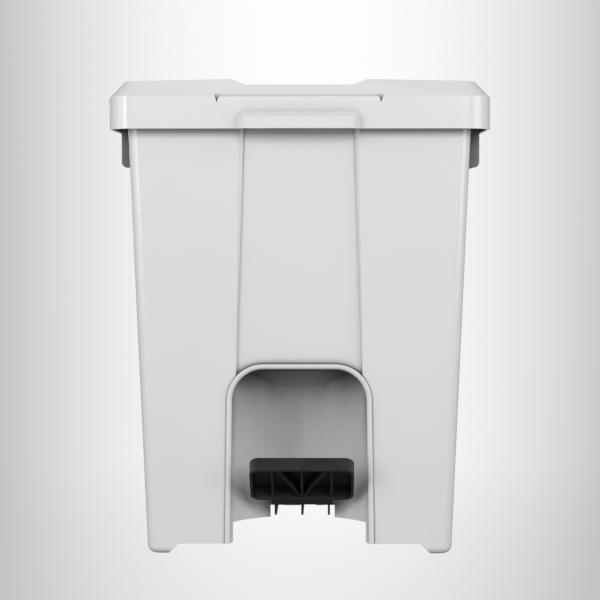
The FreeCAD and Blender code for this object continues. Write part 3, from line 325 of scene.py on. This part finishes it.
# the recess down the front: its side steps are eased into slopes and rounded
# the slope starts small at the foot of the recess and is full from fadeTop upwards
panelEase = {"front": 115.0, "draft": 2.24, "deep": 2.5, "halfLow": 59.5, "halfTop": 54.5, "low": 86.5,
             "top": 421.0, "slope": 4.5, "round": 1.6, "fadeLow": 190.0, "fadeTop": 420.0,
             "fadeLeast": 0.15, "reach": 0.2, "shortest": 50.0, "segments": 4}
# the lid's front edge below the groove: a fuller round that takes a bright line
mouthEase = {"level": 423.5, "front": 144.0, "half": 72.6, "round": 1.6, "reach": 0.02, "segments": 4}


def easePanel(bm, sizes):
    lean = math.tan(math.radians(sizes["draft"]))
    steps = []
    for vert in bm.verts:
        x, y, z = (c * 1000 for c in vert.co)
        rise = (z - sizes["low"]) / (sizes["top"] - sizes["low"])
        half = sizes["halfLow"] + (sizes["halfTop"] - sizes["halfLow"]) * rise
        face = -(sizes["front"] + z * lean)
        onEdge = abs(abs(x) - half) < sizes["reach"]
        if onEdge and face - sizes["reach"] / 2 < y < face + sizes["deep"] + sizes["reach"] / 2:
            steps.append(vert)
            if y > face + sizes["deep"] / 2:
                fade = (z - sizes["fadeLow"]) / (sizes["fadeTop"] - sizes["fadeLow"])
                fade = min(max(fade, sizes["fadeLeast"]), 1)
                vert.co.x -= math.copysign(sizes["slope"] * fade / 1000, x)
    long = [e for e in bm.edges if e.verts[0] in steps and e.verts[1] in steps
            and e.calc_length() > sizes["shortest"] / 1000]
    bmesh.ops.bevel(bm, geom=long, offset=sizes["round"] / 1000, segments=sizes["segments"],
                    profile=0.5, material=-1, affect="EDGES", clamp_overlap=True)
    print("panel edges eased:", len(long))


def easeMouth(bm, sizes):
    level, front = sizes["level"] / 1000, -sizes["front"] / 1000
    reach = sizes["reach"] / 1000
    line = [e for e in bm.edges
            if all(abs(v.co.z - level) < reach and abs(v.co.y - front) < reach
                   and abs(v.co.x) < sizes["half"] / 1000 for v in e.verts)]
    bmesh.ops.bevel(bm, geom=line, offset=sizes["round"] / 1000, segments=sizes["segments"],
                    profile=0.5, material=-1, affect="EDGES", clamp_overlap=True)
    print("mouth edges rounded:", len(line))


def soften(node, body, slot, roundMm):
    crease = math.radians(softening["crease"])
    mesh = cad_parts[node].data.copy()
    bm = bmesh.new()
    bm.from_mesh(mesh)
    bmesh.ops.remove_doubles(bm, verts=bm.verts, dist=softening["mergeMm"] / 1000)
    bmesh.ops.dissolve_limit(bm, angle_limit=math.radians(softening["flat"]), verts=bm.verts,
                             edges=bm.edges)
    if node == "outer_body":
        easePanel(bm, panelEase)
    if node == "lid":
        easeMouth(bm, mouthEase)
    for face in bm.faces:
        face.smooth = True
    for edge in bm.edges:
        edge.smooth = len(edge.link_faces) == 2 and edge.calc_face_angle(0.0) < crease
    bm.to_mesh(mesh)
    bm.free()
    piece = bpy.data.objects.new(node.replace("_", " ").title().replace(" ", "") + "Finished", mesh)
    scene.collection.objects.link(piece)
    if roundMm:
        rounding = piece.modifiers.new("edgeRound", "BEVEL")
        rounding.width = roundMm / 1000
        rounding.segments = softening["steps"]
        rounding.limit_method = "ANGLE"
        rounding.angle_limit = crease
        rounding.use_clamp_overlap = True
        rounding.harden_normals = True
    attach(piece, body)
    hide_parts(node)


# the ribbed pad under the shoe: a thin slab with a row of low bars across it
treadSizes = {"tilt": 40.0, "thick": 1.6, "bars": 9, "barWide": 1.8, "barHigh": 0.8, "barInset": 5.0,
              "corner": 4.5, "edge": 0.25, "crease": 40.0}


def roundedBlock(bm, size, centre, corner, edge):
    made = bmesh.ops.create_cube(bm, size=1.0)["verts"]
    bmesh.ops.scale(bm, vec=size, verts=made)
    bmesh.ops.translate(bm, vec=centre, verts=made)
    upright = [e for e in set(e for v in made for e in v.link_edges)
               if abs(e.verts[0].co.z - e.verts[1].co.z) > size[2] / 2]
    grown = bmesh.ops.bevel(bm, geom=upright, offset=corner, segments=6, profile=0.5, material=-1,
                            affect="EDGES")
    top = centre[2] + size[2] / 2
    faces = set(f for v in grown["verts"] for f in v.link_faces)
    rim = [e for e in set(e for f in faces for e in f.edges)
           if all(abs(v.co.z - top) < 1e-6 for v in e.verts) and e.calc_face_angle(0.0) > 1.0]
    bmesh.ops.bevel(bm, geom=rim, offset=edge, segments=2, profile=0.5, material=-1, affect="EDGES")


def buildTreadPad(sizes):
    low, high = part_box("pedal_tread_pad")
    tilt = math.radians(sizes["tilt"])
    thick = sizes["thick"] / 1000
    bar = sizes["barHigh"] / 1000
    wide = high.x - low.x
    long = (high.y - low.y - thick * math.sin(tilt)) / math.cos(tilt)
    bm = bmesh.new()
    roundedBlock(bm, (wide, long, thick - bar), (0, long / 2, (thick - bar) / 2),
                 sizes["corner"] / 1000, sizes["edge"] / 1000)
    inset = sizes["barInset"] / 1000
    barWide = sizes["barWide"] / 1000
    barTall = bar * 1.5  # a third of it is sunk in the slab
    for k in range(sizes["bars"]):
        along = inset + (long - 2 * inset) * k / (sizes["bars"] - 1)
        roundedBlock(bm, (wide - 2 * inset, barWide, barTall), (0, along, thick - barTall / 2),
                     barWide / 2.1, sizes["edge"] / 1000)
    bmesh.ops.rotate(bm, verts=bm.verts, cent=(0, 0, 0), matrix=Matrix.Rotation(-tilt, 3, "X"))
    bmesh.ops.translate(bm, verts=bm.verts,
                        vec=((low.x + high.x) / 2, low.y, high.z - thick * math.cos(tilt)))
    for face in bm.faces:
        face.smooth = True
    for edge in bm.edges:
        edge.smooth = edge.calc_face_angle(0.0) < math.radians(sizes["crease"])
    mesh = bpy.data.meshes.new("treadPadRibbed")
    bm.to_mesh(mesh)
    bm.free()
    mesh.materials.append(rubber)
    pad = bpy.data.objects.new("treadPadRibbed", mesh)
    scene.collection.objects.link(pad)
    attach(pad, "pedal")
    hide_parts("pedal_tread_pad")


buildTreadPad(treadSizes)
print("tread pad made")

for node, values in pieces.items():
    soften(node, *values)
print("pieces softened:", len(pieces))

# stage: a sweep that glows with painted light
sweep = {"width": 8.0, "front": -6.0, "back": 0.85, "radius": 0.35, "height": 3.2, "steps": 16}


def buildSweep(size):
    bm = bmesh.new()
    start = bm.verts.new((-size["width"] / 2, size["front"], 0.0))
    bend = bm.verts.new((-size["width"] / 2, size["back"] - size["radius"], 0.0))
    bm.edges.new((start, bend))
    turned = bmesh.ops.spin(bm, geom=[bend], cent=(0, size["back"] - size["radius"], size["radius"]),
                            axis=(1, 0, 0), angle=math.pi / 2, steps=size["steps"], use_duplicate=False)
    top = [v for v in turned["geom_last"] if isinstance(v, bmesh.types.BMVert)][0]
    raised = bmesh.ops.extrude_vert_indiv(bm, verts=[top])["verts"]
    bmesh.ops.translate(bm, verts=raised, vec=(0, 0, size["height"] - size["radius"]))
    wide = bmesh.ops.extrude_edge_only(bm, edges=list(bm.edges))["geom"]
    bmesh.ops.translate(bm, verts=[v for v in wide if isinstance(v, bmesh.types.BMVert)],
                        vec=(size["width"], 0, 0))
    for face in bm.faces:
        face.smooth = True
    mesh = bpy.data.meshes.new("paperSweep")
    bm.to_mesh(mesh)
    bm.free()
    obj = bpy.data.objects.new("paperSweep", mesh)
    scene.collection.objects.link(obj)
    return obj


sweepObject = buildSweep(sweep)
# painted back light: the paper glows in its own colour and lights nothing else; it is brightest behind the
# middle of the can, dimmer to both sides the painted glow spreads like a fan from a point in front, with a
# half width of spread times the distance
paperPaintedGlow = {"middle": "#fefefe", "low": "#eaeaea", "side": "#c4c4c4", "strength": 1.0,
               "fanFrom": 1.644, "fanLeast": 1.0, "spread": 0.18, "wallFrom": 0.5, "floorAt": -0.4}


def paintedGlowPaper(name, finish):
    material, tree = newMaterial(name)
    place = addNode(tree, "ShaderNodeTexCoord").outputs["Object"]
    axes = addNode(tree, "ShaderNodeSeparateXYZ", Vector=place)
    away = addNode(tree, "ShaderNodeMath", {"operation": "ADD"}, i0=axes.outputs["Y"])
    away.inputs[1].default_value = finish["fanFrom"]
    away = addNode(tree, "ShaderNodeMath", {"operation": "MAXIMUM"}, i0=away.outputs["Value"])
    away.inputs[1].default_value = finish["fanLeast"]
    side = addNode(tree, "ShaderNodeMath", {"operation": "DIVIDE"}, i0=axes.outputs["X"],
                   i1=away.outputs["Value"])
    square = addNode(tree, "ShaderNodeMath", {"operation": "POWER"}, i0=side.outputs["Value"])
    square.inputs[1].default_value = 2.0
    fall = addNode(tree, "ShaderNodeMapRange", {"From Max": finish["spread"] ** 2},
                   Value=square.outputs["Value"])
    lift = addNode(tree, "ShaderNodeMapRange",
                   {"From Min": finish["wallFrom"], "From Max": finish["floorAt"]},
                   Value=axes.outputs["Y"])
    middle = addNode(tree, "ShaderNodeMix", {"data_type": "RGBA"}, i0=lift.outputs["Result"])
    middle.inputs[6].default_value = toLinear(finish["middle"])
    middle.inputs[7].default_value = toLinear(finish["low"])
    tone = addNode(tree, "ShaderNodeMix", {"data_type": "RGBA"}, i0=fall.outputs["Result"],
                   i6=middle.outputs[2])
    tone.inputs[7].default_value = toLinear(finish["side"])
    glow = addNode(tree, "ShaderNodeEmission", {"Strength": finish["strength"]}, Color=tone.outputs[2])
    addNode(tree, "ShaderNodeOutputMaterial", Surface=glow.outputs["Emission"])
    return material


sweepObject.data.materials.append(paintedGlowPaper("paintedGlowPaper", paperPaintedGlow))
sweepObject.visible_diffuse = False
sweepObject.visible_glossy = False
print("stage ready")

# lights
world = bpy.data.worlds.new("studioRoom")
scene.world = world
world.use_nodes = True
roomLight = {"Color": toLinear("#8c8c8c"), "Strength": 0.75}
for name, value in roomLight.items():
    world.node_tree.nodes["Background"].inputs[name].default_value = value
# each lamp: its place in m, its width and height in m, its power in W
lamps = {
    "rightSoftbox": ((0.95, -2.5, 1.3), (1.1, 1.1), 34.5),
    "leftStrip": ((-1.9, -1.5, 0.75), (0.3, 1.5), 17.0),
    "leftFill": ((-2.2, -0.7, 0.7), (1.2, 1.4), 10.0),
    "leftSoftbox": ((-0.9, -2.6, 1.3), (0.9, 1.1), 18.5),
    "rightFill": ((2.2, -0.9, 0.7), (1.2, 1.4), 20.0),
    "backFill": ((-0.3, 3.0, 0.7), (2.0, 1.0), 16.0),
}
aim = Vector((0, 0, 0.25))  # the middle of the can
for name, (spot, size, power) in lamps.items():
    lamp = bpy.data.lights.new(name, "AREA")
    lamp.shape = "RECTANGLE"
    lamp.size, lamp.size_y = size
    lamp.energy = power
    holder = bpy.data.objects.new(name, lamp)
    scene.collection.objects.link(holder)
    holder.location = spot
    holder.rotation_euler = (aim - Vector(spot)).to_track_quat("-Z", "Y").to_euler()
print("lights ready")
